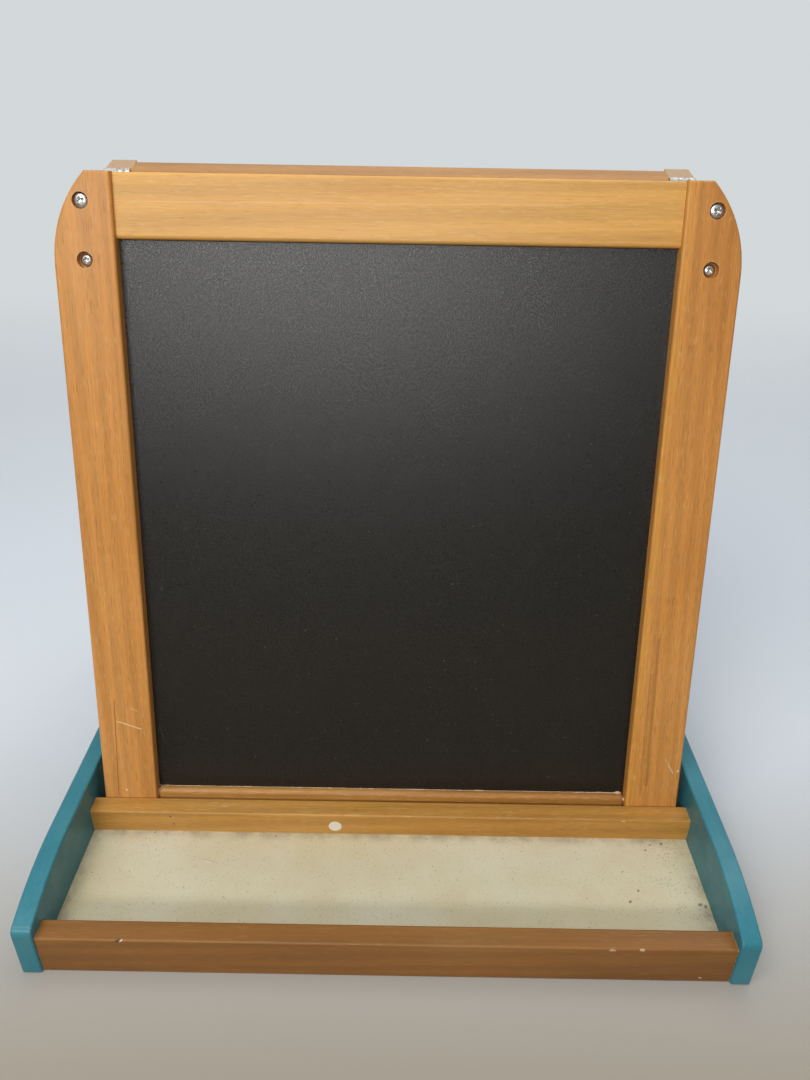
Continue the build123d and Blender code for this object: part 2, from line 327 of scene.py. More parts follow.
def woodMaterial(name, turn, stain, ring, bend, shift, wear=0.3, pores=0.3, flecks=0.2, marks=(), band=None):
    # stain that varies with the grain, pores, flecks, worn edges, marks of use, and an optional band of
    # painted highlight
    dark, mid, light = stains[stain]
    material, tree, shader = newMaterial(name)
    spot = place(tree)
    grain = useGroup(tree, woodGrain, Vector=mapped(tree, spot, turn=turn, shift=shift), Ring=ring, Bend=bend)
    colour = blendColour(tree, spread(tree, grain["Clouds"], 0.25, 0.55), dark, mid)
    colour = blendColour(tree, spread(tree, grain["Clouds"], 0.50, 0.80), colour, light)
    fibre = spread(tree, grain["Fibre"], 0.30, 0.70, *woodFinish["fibreTone"])
    colour = blendColour(tree, 1.0, colour, fibre, "MULTIPLY")
    rings = spread(tree, grain["Rings"], 0.05, 0.95, *woodFinish["ringTone"])
    colour = blendColour(tree, 1.0, colour, rings, "MULTIPLY")
    if band:
        # a stretch of another tone between two places along one axis: a painted highlight along an edge,
        # streaked with the grain
        axis, low, high, tint, strength = band
        across = splitAxes(tree, spot)[axis]
        soft = (high - low) * 0.35
        inside = calc(tree, "MULTIPLY", spread(tree, across, low - soft, low + soft),
                      spread(tree, across, high + soft, high - soft))
        streaky = calc(tree, "MULTIPLY", inside, spread(tree, grain["Fibre"], 0.25, 0.6))
        colour = blendColour(tree, calc(tree, "MULTIPLY", streaky, strength), colour, tint)
    # end grain soaks up less stain and is greyer
    facing = splitAxes(tree, tree.nodes.new("ShaderNodeTexCoord").outputs["Normal"])
    endAxis = 0 if turn == acrossTurn else 2
    endFace = spread(tree, calc(tree, "ABSOLUTE", facing[endAxis]), 0.86, 0.95)
    endMask = calc(tree, "MULTIPLY", endFace, woodFinish["endMix"])
    colour = blendColour(tree, endMask, colour, woodFinish["endGrain"])
    colour = blendColour(tree, calc(tree, "MULTIPLY", grain["Pores"], pores), colour, woodFinish["pore"])
    colour = blendColour(tree, calc(tree, "MULTIPLY", grain["Flecks"], flecks), colour, woodFinish["fleck"])
    worn = useGroup(tree, edgeWear, Vector=spot, Breakup=0.72 - wear,
                    Scale=woodFinish["wearScale"], Radius=woodFinish["wearRadius"])["Mask"]
    wornMask = calc(tree, "MULTIPLY", worn, woodFinish["wearMix"])
    colour = blendColour(tree, wornMask, colour, woodFinish["bare"])
    colour = addMarks(tree, spot, colour, marks)
    link(tree, colour, shader.inputs["Base Color"])
    base = woodFinish["roughness"]
    rough = spread(tree, grain["Fibre"], 0.2, 0.8, base - 0.06, base + 0.10)
    link(tree, calc(tree, "ADD", rough, calc(tree, "MULTIPLY", worn, 0.2)), shader.inputs["Roughness"])
    shader.inputs["Specular IOR Level"].default_value = woodFinish["specular"]
    shader.inputs["Coat Weight"].default_value = woodFinish["lacquer"]
    shader.inputs["Coat Roughness"].default_value = woodFinish["lacquerRoughness"]
    furrow = calc(tree, "MULTIPLY", grain["Pores"], 0.6)
    height = calc(tree, "SUBTRACT", calc(tree, "MULTIPLY", grain["Fibre"], 0.5), furrow)
    bump(tree, shader, height, woodFinish["relief"], woodFinish["reliefDepth"])
    return material


# Marks of use, at places measured on each piece
pale = (0.80, 0.66, 0.46)
brown = (0.17, 0.065, 0.018)
deep = (0.05, 0.028, 0.014)
leftStileMarks = (
    (leafPoint(-0.2252, 0.0894), leafPoint(-0.2282, 0.0016), 0.00045, brown, 0.75),
    (leafPoint(-0.2236, 0.0700), leafPoint(-0.2052, 0.0636), 0.00055, pale, 0.75),
    (leafPoint(-0.2128, 0.0825), leafPoint(-0.2073, 0.0799), 0.00040, pale, 0.55),
    (leafPoint(-0.2215, 0.0070), leafPoint(-0.2212, 0.0066), 0.00110, pale, 0.80),
    (leafPoint(-0.2150, 0.2350), leafPoint(-0.2158, 0.2250), 0.00050, brown, 0.30),
)
rightStileMarks = (
    (leafPoint(0.2287, 0.0388), leafPoint(0.2336, 0.0314), 0.00050, pale, 0.60),
    (leafPoint(0.2255, 0.0445), leafPoint(0.2290, 0.0400), 0.00035, pale, 0.35),
    (leafPoint(0.2376, 0.0333), leafPoint(0.2374, 0.0330), 0.00100, pale, 0.80),
    (leafPoint(0.2100, 0.1500), leafPoint(0.2125, 0.0200), 0.00160, brown, 0.30),
    (leafPoint(0.2065, 0.1200), leafPoint(0.2080, 0.0100), 0.00080, brown, 0.28),
)
topRailMarks = (
    (leafPoint(-0.1850, 0.4661, 0.004), leafPoint(0.1180, 0.4680, 0.004), 0.00035, pale, 0.20),
    (leafPoint(0.1984, 0.4846, 0.004), leafPoint(0.1984, 0.4430, 0.004), 0.00030, brown, 0.60),
)
innerRailMarks = (
    ((-0.1814, railLow[1], 0.0315), (-0.1813, railLow[1], 0.0311), 0.0011, deep, 0.85),
    ((-0.1798, railLow[1], 0.0235), (-0.1797, railLow[1], 0.0222), 0.0016, brown, 0.35),
    ((-0.1401, -0.1557, railHigh[2]), (-0.1351, -0.1556, railHigh[2]), 0.0005, pale, 0.50),
    ((0.1905, railLow[1], 0.0345), (0.1935, railLow[1], 0.0345), 0.0006, pale, 0.60),
)
outerLow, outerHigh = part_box("front_tray_outer_rail")
outerRailMarks = (
    ((-0.1893, outerLow[1], 0.0352), (-0.1876, outerLow[1] + 0.0006, 0.0360), 0.0013, deep, 0.90),
    ((-0.1868, outerLow[1], 0.0350), (-0.1855, outerLow[1] + 0.0006, 0.0359), 0.0007, pale, 0.70),
    ((0.1570, outerLow[1], 0.0344), (0.1600, outerLow[1], 0.0344), 0.0012, pale, 0.45),
    ((0.1785, outerLow[1], 0.0350), (0.1800, outerLow[1], 0.0350), 0.0014, pale, 0.50),
    ((0.2246, outerLow[1], 0.0050), (0.2262, outerLow[1], 0.0046), 0.0008, pale, 0.55),
    ((-0.2401, outerLow[1], 0.0022), (-0.2395, outerLow[1], 0.0018), 0.0010, deep, 0.70),
)

# Each wooden node: its material, the turn of its grain, stain, ring size, bend, shift and further values
# painted highlight: a lighter orange strip along the right stile's rounded inner edge, where light catches it
rightEdgeHighlight = (0, 0.1955, 0.2030, (0.66, 0.30, 0.05), 0.7)
woodPieces = {
    "front_left_stile": (
        "frontLeftStileWood", uprightTurn, "stile", 46, 4, (0.13, 0.02, 0.4), {"marks": leftStileMarks}),
    "front_right_stile": (
        "frontRightStileWood", uprightTurn, "stile", 58, 3, (0.31, 0.05, 0.1),
        {"marks": rightStileMarks, "band": rightEdgeHighlight}),
    "rear_left_stile": ("rearLeftStileWood", rearTurn, "stile", 44, 4, (0.52, 0.3, 0.7), {}),
    "rear_right_stile": ("rearRightStileWood", rearTurn, "stile", 48, 4, (0.71, 0.2, 0.6), {}),
    "front_top_rail": (
        "topRailWood", acrossTurn, "topRail", 30, 2, (0.02, 0.11, 0.3),
        {"pores": 0.15, "flecks": 0.25, "marks": topRailMarks}),
    "front_bottom_rail": ("bottomRailWood", acrossTurn, "lowRail", 60, 3, (0.22, 0.31, 0.3), {}),
    "rear_top_rail": ("rearTopRailWood", acrossTurn, "lowRail", 40, 3, (0.42, 0.5, 0.1), {}),
    "rear_bottom_rail": ("rearBottomRailWood", acrossTurn, "lowRail", 60, 3, (0.62, 0.71, 0.2), {}),
    "front_tray_inner_rail": (
        "innerRailWood", acrossTurn, "innerRail", 52, 3, (0.12, 0.41, 0.5),
        {"wear": 0.38, "marks": innerRailMarks}),
    "rear_tray_inner_rail": (
        "rearInnerRailWood", acrossTurn, "innerRail", 52, 3, (0.82, 0.41, 0.5), {"wear": 0.38}),
    "front_tray_outer_rail": (
        "outerRailWood", acrossTurn, "outerRail", 46, 3, (0.33, 0.81, 0.7),
        {"wear": 0.32, "flecks": 0.06, "marks": outerRailMarks}),
    "rear_tray_outer_rail": (
        "rearOuterRailWood", acrossTurn, "outerRail", 46, 3, (0.93, 0.61, 0.7), {"wear": 0.40}),
}
for woodNode, (*woodValues, woodMore) in woodPieces.items():
    dress(woodMaterial(*woodValues, **woodMore), woodNode)
print("wood done")

# Teal paint on the side panels
tealPaint = {
    "colour": (0.024, 0.185, 0.235),
    "dusty": (0.045, 0.220, 0.265),
    "worn": (0.22, 0.40, 0.42),
    "roughness": 0.36,
    "specular": 0.36,
    "coat": 0.14,
    "coatRoughness": 0.12,
    "brushScale": 800,
    "edgeSoftness": 0.0016,
}


def tealMaterial():
    # brushed satin enamel: slow tone changes, faint brush lines along the panel, rubbed edges
    material, tree, shader = newMaterial("tealPaint")
    spot = place(tree)
    clouds = spread(tree, noise(tree, spot, 20, 4, 0.6), 0.35, 0.75)
    colour = blendColour(tree, clouds, tealPaint["colour"], tealPaint["dusty"])
    brush = noise(tree, mapped(tree, spot, (1, 0.05, 1)), tealPaint["brushScale"], 3, 0.5)
    colour = blendColour(tree, 1.0, colour, spread(tree, brush, 0.3, 0.7, 0.93, 1.05), "MULTIPLY")
    worn = useGroup(tree, edgeWear, Vector=spot, Breakup=0.50, Scale=260.0, Radius=0.0012)["Mask"]
    colour = blendColour(tree, calc(tree, "MULTIPLY", worn, 0.40), colour, tealPaint["worn"])
    link(tree, colour, shader.inputs["Base Color"])
    smear = noise(tree, spot, 45, 4, 0.6)
    base = tealPaint["roughness"]
    roughen(tree, shader, smear, 0.3, 0.7, base - 0.05, base + 0.12)
    shader.inputs["Specular IOR Level"].default_value = tealPaint["specular"]
    shader.inputs["Coat Weight"].default_value = tealPaint["coat"]
    shader.inputs["Coat Roughness"].default_value = tealPaint["coatRoughness"]
    soft = tree.nodes.new("ShaderNodeBevel")
    soft.samples = 8
    soft.inputs["Radius"].default_value = tealPaint["edgeSoftness"]
    link(tree, soft.outputs["Normal"], bump(tree, shader, brush, 0.10, 0.0003).inputs["Normal"])
    return material


dress(tealMaterial(), "left_side_panel", "right_side_panel")

# Cream tray floors
laminate = {
    "colour": (0.610, 0.530, 0.335),
    "clean": (0.660, 0.600, 0.430),
    "grime": (0.15, 0.12, 0.08),
    "spot": (0.12, 0.10, 0.07),
    "rimWidth": 0.012,
    "endWidth": 0.014,
    "rimMix": 0.42,
    "roughness": 0.40,
    "specular": 0.30,
}
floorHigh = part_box("front_tray_floor")[1]


def laminateMaterial(name, marks=(), dirty=0.0):
    # cream laminate, greyer along its edges, with fine specks and, at one end, dark dirt
    material, tree, shader = newMaterial(name)
    spot = place(tree)
    axes = splitAxes(tree, spot)
    clouds = spread(tree, noise(tree, spot, 14, 4, 0.6), 0.35, 0.70)
    colour = blendColour(tree, clouds, laminate["colour"], laminate["clean"])
    blotch = noise(tree, mapped(tree, spot, (1, 1, 1), shift=(0.3, 0.1, 0)), 60, 5, 0.65)
    depth = calc(tree, "ABSOLUTE", axes[1])
    width = calc(tree, "ABSOLUTE", axes[0])
    nearIn = spread(tree, depth, -railLow[1] + laminate["rimWidth"], -railLow[1])
    nearOut = spread(tree, depth, -outerHigh[1] - laminate["rimWidth"], -outerHigh[1])
    nearEnd = spread(tree, width, floorHigh[0] - laminate["endWidth"], floorHigh[0])
    rim = calc(tree, "MAXIMUM", calc(tree, "MAXIMUM", nearIn, nearOut), nearEnd)
    rim = calc(tree, "MULTIPLY", rim, spread(tree, blotch, 0.35, 0.65))
    colour = blendColour(tree, calc(tree, "MULTIPLY", rim, laminate["rimMix"]), colour, laminate["grime"])
    speck = spread(tree, noise(tree, spot, 1000, 1, 0.3), 0.300, 0.255)
    if dirty:
        # the dirt gathers over the last few centimetres at the right end
        right = spread(tree, axes[0], floorHigh[0] - 0.075, floorHigh[0] - 0.005)
        thick = calc(tree, "MULTIPLY", right, spread(tree, blotch, 0.48, 0.62))
        peppered = spread(tree, noise(tree, spot, 620, 3, 0.6), 0.46, 0.36)
        dirt = calc(tree, "MULTIPLY", calc(tree, "MULTIPLY", thick, peppered), dirty)
        speck = calc(tree, "MAXIMUM", speck, dirt)
    colour = blendColour(tree, calc(tree, "MULTIPLY", speck, 0.6), colour, laminate["grime"])
    colour = addMarks(tree, spot, colour, marks)
    link(tree, colour, shader.inputs["Base Color"])
    roughen(tree, shader, blotch, 0.3, 0.7, laminate["roughness"], laminate["roughness"] + 0.18)
    shader.inputs["Specular IOR Level"].default_value = laminate["specular"]
    bump(tree, shader, noise(tree, spot, 500, 3, 0.5), 0.06, 0.0003)
    return material


def floorLine(x, y, endX, endY, width, tint, strength):
    # a mark that lies on the tray floor
    return (x, y, floorHigh[2]), (endX, endY, floorHigh[2]), width, tint, strength


# Dark spots on the floor: x, y, radius and strength
floorSpots = (
    (0.1949, -0.2140, 0.0012, 0.75),
    (0.1863, -0.2240, 0.0013, 0.85),
    (0.1863, -0.1967, 0.0009, 0.60),
    (0.2247, -0.1685, 0.0013, 0.80),
    (0.2150, -0.1700, 0.0010, 0.70),
    (0.2100, -0.1752, 0.0009, 0.85),
    (0.2398, -0.2255, 0.0016, 0.75),
    (0.2435, -0.2270, 0.0015, 0.80),
    (-0.1962, -0.1655, 0.0010, 0.60),
    (0.2020, -0.2590, 0.0014, 0.80),
    (0.0300, -0.1680, 0.0009, 0.40),
    (-0.0950, -0.1672, 0.0009, 0.55),
)
floorMarks = [
    floorLine(x, y, x + 0.0006, y + 0.0004, radius, laminate["spot"], strength)
    for x, y, radius, strength in floorSpots
]
floorMarks += [
    floorLine(-0.1500, -0.1910, -0.1400, -0.1935, 0.0005, (0.42, 0.36, 0.26), 0.60),
    floorLine(-0.1480, -0.1930, -0.1430, -0.1945, 0.0004, (0.80, 0.74, 0.60), 0.60),
    floorLine(0.1260, -0.2270, 0.1650, -0.2330, 0.0005, (0.46, 0.39, 0.26), 0.35),
]
dress(laminateMaterial("creamLaminate", floorMarks, 1.0), "front_tray_floor")
dress(laminateMaterial("rearCreamLaminate"), "rear_tray_floor")

# Boards
chalkboard = {
    "colour": (0.0035, 0.0026, 0.0016),
    # fleck: the lighter tone of the pebble's raised specks, partly the paint's own grain and partly painted
    # glint of the sheen
    "fleck": (0.014, 0.012, 0.009),
    "dust": (0.014, 0.011, 0.007),
    "speck": (0.20, 0.17, 0.13),
    "scratch": (0.42, 0.38, 0.32),
    "pebbleScale": 1450,
    "pebbleRelief": 0.9,
    "pebbleDepth": 0.0002,
    "roughness": 0.31,
    "specular": 0.60,
}
# Scratches on its face: x and height of each end, width and strength
boardScratches = (
    (-0.1979, 0.0074, -0.1945, 0.0050, 0.0005, 0.8),
    (-0.1945, 0.0050, -0.1890, 0.0062, 0.0004, 0.6),
    (-0.1929, 0.0622, -0.1894, 0.0466, 0.0005, 0.06),
    (-0.1780, 0.0520, -0.1720, 0.0505, 0.0004, 0.07),
)


def chalkboardMaterial():
    # black lacquer with a fine pebbled skin whose raised specks are painted lighter, partly the skin's own
    # tone and partly painted glints; faint chalk dust and a few scratches
    material, tree, shader = newMaterial("chalkboardPaint")
    spot = place(tree)
    pebble = noise(tree, spot, chalkboard["pebbleScale"], 1, 0.5)
    # the raised specks are painted lighter, partly as painted glints
    colour = blendColour(tree, spread(tree, pebble, 0.50, 0.78), chalkboard["colour"], chalkboard["fleck"])
    dust = spread(tree, noise(tree, mapped(tree, spot, (1, 1, 0.6)), 9, 5, 0.65), 0.48, 0.80, 0.0, 0.30)
    colour = blendColour(tree, dust, colour, chalkboard["dust"])
    speck = spread(tree, noise(tree, spot, 520, 1, 0.3), 0.755, 0.785)
    colour = blendColour(tree, calc(tree, "MULTIPLY", speck, 0.35), colour, chalkboard["speck"])
    face = leaf["boardDepth"]
    colour = addMarks(tree, spot, colour, [
        (leafPoint(x, height, face), leafPoint(endX, endHeight, face), width, chalkboard["scratch"], strength)
        for x, height, endX, endHeight, width, strength in boardScratches
    ])
    link(tree, colour, shader.inputs["Base Color"])
    base = chalkboard["roughness"]
    roughen(tree, shader, pebble, 0.3, 0.7, base - 0.08, base + 0.10)
    shader.inputs["Specular IOR Level"].default_value = chalkboard["specular"]
    bump(tree, shader, pebble, chalkboard["pebbleRelief"], chalkboard["pebbleDepth"])
    return material


whiteboard = {
    "colour": (0.74, 0.75, 0.75),
    "ghost": (0.62, 0.65, 0.69),
    "speck": (0.30, 0.30, 0.31),
    "roughness": 0.16,
    "coat": 0.5,
    "coatRoughness": 0.08,
}


def whiteboardMaterial():
    # glossy white skin with faint wiped smears
    material, tree, shader = newMaterial("whiteboardSkin")
    spot = place(tree)
    smear = noise(tree, mapped(tree, spot, (1, 1, 0.45), turn=(0, 0.5, 0)), 16, 5, 0.65)
    wiped = spread(tree, smear, 0.45, 0.78, 0.0, 0.55)
    colour = blendColour(tree, wiped, whiteboard["colour"], whiteboard["ghost"])
    speck = spread(tree, noise(tree, spot, 600, 1, 0.3), 0.28, 0.24)
    colour = blendColour(tree, calc(tree, "MULTIPLY", speck, 0.5), colour, whiteboard["speck"])
    link(tree, colour, shader.inputs["Base Color"])
    roughen(tree, shader, smear, 0.35, 0.75, whiteboard["roughness"], whiteboard["roughness"] + 0.16)
    shader.inputs["Coat Weight"].default_value = whiteboard["coat"]
    shader.inputs["Coat Roughness"].default_value = whiteboard["coatRoughness"]
    return material


dress(chalkboardMaterial(), "chalkboard_panel")
dress(whiteboardMaterial(), "whiteboard_panel")
print("panels done")

# Metal and paper
steel = {"bright": (0.62, 0.61, 0.58), "tarnish": (0.26, 0.24, 0.21)}


def steelMaterial(name, roughness, tarnish):
    # zinc-plated steel, dulled in patches
    material, tree, shader = newMaterial(name)
    spot = place(tree)
    patch = noise(tree, spot, 420, 4, 0.6)
    dull = spread(tree, patch, 0.42, 0.72, 0.0, tarnish)
    colour = blendColour(tree, dull, steel["bright"], steel["tarnish"])
    link(tree, colour, shader.inputs["Base Color"])
    shader.inputs["Metallic"].default_value = 1.0
    roughen(tree, shader, patch, 0.3, 0.75, roughness, roughness + 0.22)
    bump(tree, shader, noise(tree, spot, 1500, 2, 0.5), 0.12, 0.0002)
    return material


screwSteel = steelMaterial("screwSteel", 0.26, 0.75)
hingeSteel = steelMaterial("hingeSteel", 0.42, 1.0)
dress(hingeSteel, "front_left_hinge_plate", "front_right_hinge_plate")
dress(hingeSteel, "rear_left_hinge_plate", "rear_right_hinge_plate", "hinge_pins")

paper = {"colour": (0.78, 0.73, 0.60), "stain": (0.50, 0.42, 0.28), "roughness": 0.75}


def paperMaterial():
    # soft cream paper, browned where fingers have been
    material, tree, shader = newMaterial("stickerPaper", paper["roughness"])
    spot = place(tree)
    stain = spread(tree, noise(tree, spot, 260, 4, 0.6), 0.45, 0.80, 0.0, 0.40)
    colour = blendColour(tree, stain, paper["colour"], paper["stain"])
    link(tree, colour, shader.inputs["Base Color"])
    bump(tree, shader, noise(tree, spot, 1800, 2, 0.5), 0.15, 0.0001)
    return material


dress(paperMaterial(), "tray_sticker")
print("materials done")


# Screws: pan heads with a cross recess, one mesh for each pair or group
screwShape = {
    "height": 0.0030,
    "wallShare": 0.36,
    "domePower": 2.4,
    "shank": 0.0025,
    "recessLength": 0.90,
    "recessWidth": 0.0014,
    "recessDepth": 0.0015,
    "rings": 44,
    "turns": 96,
}


def gridFaces(rows, turns):
    # four-sided faces between neighbouring rings of points, closed around
    i, j = np.meshgrid(np.arange(rows - 1), np.arange(turns), indexing="ij")
    following = (j + 1) % turns
    corners = (i * turns + j, (i + 1) * turns + j, (i + 1) * turns + following, i * turns + following)
    return np.stack(corners, axis=-1).reshape(-1, 4)


def screwHead(radius, length, turn):
    # surface of revolution: a flattened dome, a short wall, the flat underside and the shank;
    # the dome is lowered by the recess depth where it lies inside either arm of a cross
    rings, turns = screwShape["rings"], screwShape["turns"]
    reach = np.linspace(0, 1, rings)
    r = np.concatenate([radius * reach, [radius, screwShape["shank"], screwShape["shank"], 0.0]])
    wall, power = screwShape["wallShare"], screwShape["domePower"]
    dome = screwShape["height"] * (wall + (1 - wall) * np.sqrt(np.clip(1 - reach ** power, 0, 1)))
    z = np.concatenate([dome, [0.0, 0.0, -length, -length]])
    angle = np.linspace(0, 2 * np.pi, turns, endpoint=False)
    x = r[:, None] * np.cos(angle)
    y = r[:, None] * np.sin(angle)
    across = np.cos(turn) * x + np.sin(turn) * y
    along = -np.sin(turn) * x + np.cos(turn) * y
    half = screwShape["recessWidth"] / 2
    arm = radius * screwShape["recessLength"] / 2

    def inside(a, b):
        # smooth box around one arm of the cross
        side = np.clip((half - np.abs(a)) / (half * 0.55) + 0.5, 0, 1)
        tip = np.clip((arm - np.abs(b)) / (half * 0.9) + 0.5, 0, 1)
        return np.minimum(side, tip)

    cut = np.maximum(inside(across, along), inside(along, across))
    deep = screwShape["recessDepth"] * np.clip(1.15 - np.hypot(x, y) / (arm * 1.6), 0.35, 1)
    top = np.arange(len(r)) < rings
    height = np.where(top[:, None], z[:, None] - cut * deep, z[:, None])
    points = np.stack([x, y, height], axis=-1)
    return points.reshape(-1, 3), gridFaces(len(r), turns)


def weldedMesh(name, points, faces, material):
    # poles and seams are closed by merging doubles; faces are turned outwards
    mesh = bpy.data.meshes.new(name)
    mesh.from_pydata(points.tolist(), [], faces.tolist())
    work = bmesh.new()
    work.from_mesh(mesh)
    bmesh.ops.remove_doubles(work, verts=work.verts, dist=0.00001)
    bmesh.ops.dissolve_degenerate(work, edges=work.edges, dist=0.000002)
    bmesh.ops.recalc_face_normals(work, faces=work.faces)
    work.to_mesh(mesh)
    work.free()
    mesh.polygons.foreach_set("use_smooth", np.ones(len(mesh.polygons), dtype=bool))
    mesh.materials.append(material)
    piece = bpy.data.objects.new(name, mesh)
    bpy.context.scene.collection.objects.link(piece)
    return piece


def screwGroup(name, node, body, spots, radius, length):
    # spots: seat point, axis of the head, one sideways direction and the turn of the recess
    allPoints, allFaces, count = [], [], 0
    for seat, axis, sideways, turn in spots:
        points, faces = screwHead(radius, length, turn)
        axis = np.array(axis, dtype=float)
        sideways = np.array(sideways, dtype=float)
        third = np.cross(axis, sideways)
        placed = np.array(seat) + points[:, :1] * sideways + points[:, 1:2] * third + points[:, 2:] * axis
        allPoints.append(placed)
        allFaces.append(faces + count)
        count += len(points)
    piece = weldedMesh(name, np.concatenate(allPoints), np.concatenate(allFaces), screwSteel)
    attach(piece, body)
    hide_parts(node)


screwRows = {
    "x": 0.21825,
    "drop": 0.0193,
    "pitch": 0.0386,
    "depths": (0.0034, 0.0054),
    "radii": (0.0051, 0.0042),
    "turns": (0.45, 1.10, 0.25, 0.80),
    "plate": 0.002,
}


def buildHingeScrews():
    sine, cosine = math.sin(leaf["lean"]), math.cos(leaf["lean"])
    for rear in (False, True):
        side = 1 if rear else -1
        axis = (0, side * cosine, sine)
        for row, rowName in enumerate(("upper", "lower")):
            height = leaf["length"] - screwRows["drop"] - row * screwRows["pitch"]
            depth = screwRows["depths"][row]
            spots = []
            for k, x in enumerate((-screwRows["x"], screwRows["x"])):
                turn = screwRows["turns"][row * 2 + k]
                spots.append((leafPoint(x, height, depth, rear), axis, (1, 0, 0), turn))
            end = "rear" if rear else "front"
            length = leaf["thickness"] - depth + screwRows["plate"]
            node = end + "_" + rowName + "_hinge_screws"
            name = end + rowName.title() + "Screws"
            screwGroup(name, node, end + "_leaf", spots, screwRows["radii"][row], length)


trayBolts = {"z": 0.020, "counterbore": 0.0036, "grip": 0.034, "offset": 0.0015, "radius": 0.0051}


def buildTrayBolts():
    # four bolts a side, through the panel into the ends of the tray rails
    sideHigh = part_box("right_side_panel")[1]
    inner = (railLow[1] + railHigh[1]) / 2 + trayBolts["offset"]
    outer = (outerLow[1] + outerHigh[1]) / 2 - trayBolts["offset"]
    spots = []
    for side in (-1, 1):
        for k, y in enumerate((outer, inner, -inner, -outer)):
            seat = (side * (sideHigh[0] - trayBolts["counterbore"]), y, trayBolts["z"])
            spots.append((seat, (side, 0, 0), (0, 1, 0), 0.3 + 0.7 * k + side))
    screwGroup("trayBoltsDetailed", "tray_bolts", "base", spots, trayBolts["radius"], trayBolts["grip"])


buildHingeScrews()
buildTrayBolts()
print("screws done")

# Dried filler along the board's lower edge
filler = {
    "radius": 0.00038,
    "rough": 0.00035,
    "chip": 0.0011,
    "endRadius": 0.00032,
    "step": 0.0006,
    "sides": 8,
    "roughness": 0.7,
    "colour": (0.66, 0.58, 0.45),
    "stained": (0.50, 0.36, 0.20),
}


def fillerMaterial():
    material, tree, shader = newMaterial("driedFiller", filler["roughness"])
    spot = place(tree)
    crumb = noise(tree, spot, 900, 4, 0.6)
    colour = blendColour(tree, spread(tree, crumb, 0.35, 0.65), filler["stained"], filler["colour"])
    link(tree, colour, shader.inputs["Base Color"])
    bump(tree, shader, crumb, 0.4, 0.0004)
    return material


def smoothRandom(count, knots, rng):
    # values between 0 and 1 that change slowly along a line
    return np.interp(np.linspace(0, knots - 1, count), np.arange(knots), rng.random(knots))


def beadAlong(name, path, radii, material):
    # a small round bead carried along a path as rings of points, with its ends closed to a point
    sides = filler["sides"]
    angle = np.linspace(0, 2 * np.pi, sides, endpoint=False)
    ahead = np.gradient(path, axis=0)
    ahead = ahead / np.linalg.norm(ahead, axis=1)[:, None]
    side = np.cross(ahead, np.array([0.0, 0.0, 1.0]) + 0.01)
    side = side / np.linalg.norm(side, axis=1)[:, None]
    up = np.cross(side, ahead)
    wheel = np.cos(angle)[None, :, None] * side[:, None, :] + np.sin(angle)[None, :, None] * up[:, None, :]
    ring = path[:, None, :] + radii[:, None, None] * wheel
    piece = weldedMesh(name, ring.reshape(-1, 3), gridFaces(len(path), sides), material)
    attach(piece, "front_leaf")


def buildFiller():
    # three beads: along the board, around the rail's left end, and a chip at its right end
    rng = np.random.default_rng(11)
    material = fillerMaterial()
    half = leaf["halfOpening"]
    x = np.arange(-half + 0.003, half - 0.001, filler["step"])
    count = len(x)
    bumps = smoothRandom(count, 150, rng) ** 2.2
    patches = np.clip(smoothRandom(count, 26, rng) * 1.6 - 0.35, 0.12, 1)
    crumbs = filler["rough"] * patches * smoothRandom(count, 300, rng) ** 3
    chips = np.exp(-((x - half + 0.0045) / 0.0022) ** 2)
    radii = filler["radius"] * (0.35 + 1.1 * patches * bumps) + crumbs + filler["chip"] * chips
    radii[0] = radii[-1] = 0
    height = leaf["lowRailTop"] + 0.0001 + 0.0002 * smoothRandom(count, 90, rng)
    depth = leaf["boardDepth"] - 0.0004 - 0.0003 * bumps
    path = np.stack(leafPoint(x, height, depth), axis=1)
    beadAlong("boardSeamFiller", path, radii, material)
    turn = np.linspace(0, np.pi / 2, 14)
    endX = np.concatenate([np.full(10, -half + 0.0002), -half + 0.0032 - 0.003 * np.cos(turn)])
    endHeight = np.concatenate([np.linspace(-0.001, 0.0026, 10), 0.0026 + 0.0031 * np.sin(turn)])
    endDepth = np.concatenate([np.full(10, 0.0046), 0.0046 + 0.0042 * (turn / turn[-1]) ** 2])
    endRadii = filler["endRadius"] * (0.6 + 0.6 * smoothRandom(len(endX), 9, rng))
    endRadii[0] = endRadii[-1] = 0
    beadAlong("railEndFiller", np.stack(leafPoint(endX, endHeight, endDepth), axis=1), endRadii, material)
    count = 9
    dropX = np.full(count, half - 0.0004)
    dropHeight = np.linspace(0.0045, 0.0005, count)
    swell = np.sin(np.linspace(0, np.pi, count))
    dropRadii = filler["chip"] * swell * (0.6 + 0.5 * smoothRandom(count, 5, rng))
    dropPath = np.stack(leafPoint(dropX, dropHeight, np.full(count, 0.0048)), axis=1)
    beadAlong("railChipFiller", dropPath, dropRadii, material)


buildFiller()
print("filler done")

# Studio: a pale floor that runs back into a wall, soft lamps, and the photograph's camera
studio = {
    # painted shade: the first colour darkens the floor in front of the easel as if shaded, and the
    # chalkboard's lower part reflects it
    "near": (0.350, 0.300, 0.230),
    "floor": (0.700, 0.730, 0.765),
    "wall": (0.650, 0.690, 0.700),
    "nearEdge": (-0.42, 0.02),
    "farEdge": (0.25, 1.9),
    "bend": 1.2,
    "wallStart": 1.9,
    "reach": 7.0,
    "halfWidth": 8.0,
}


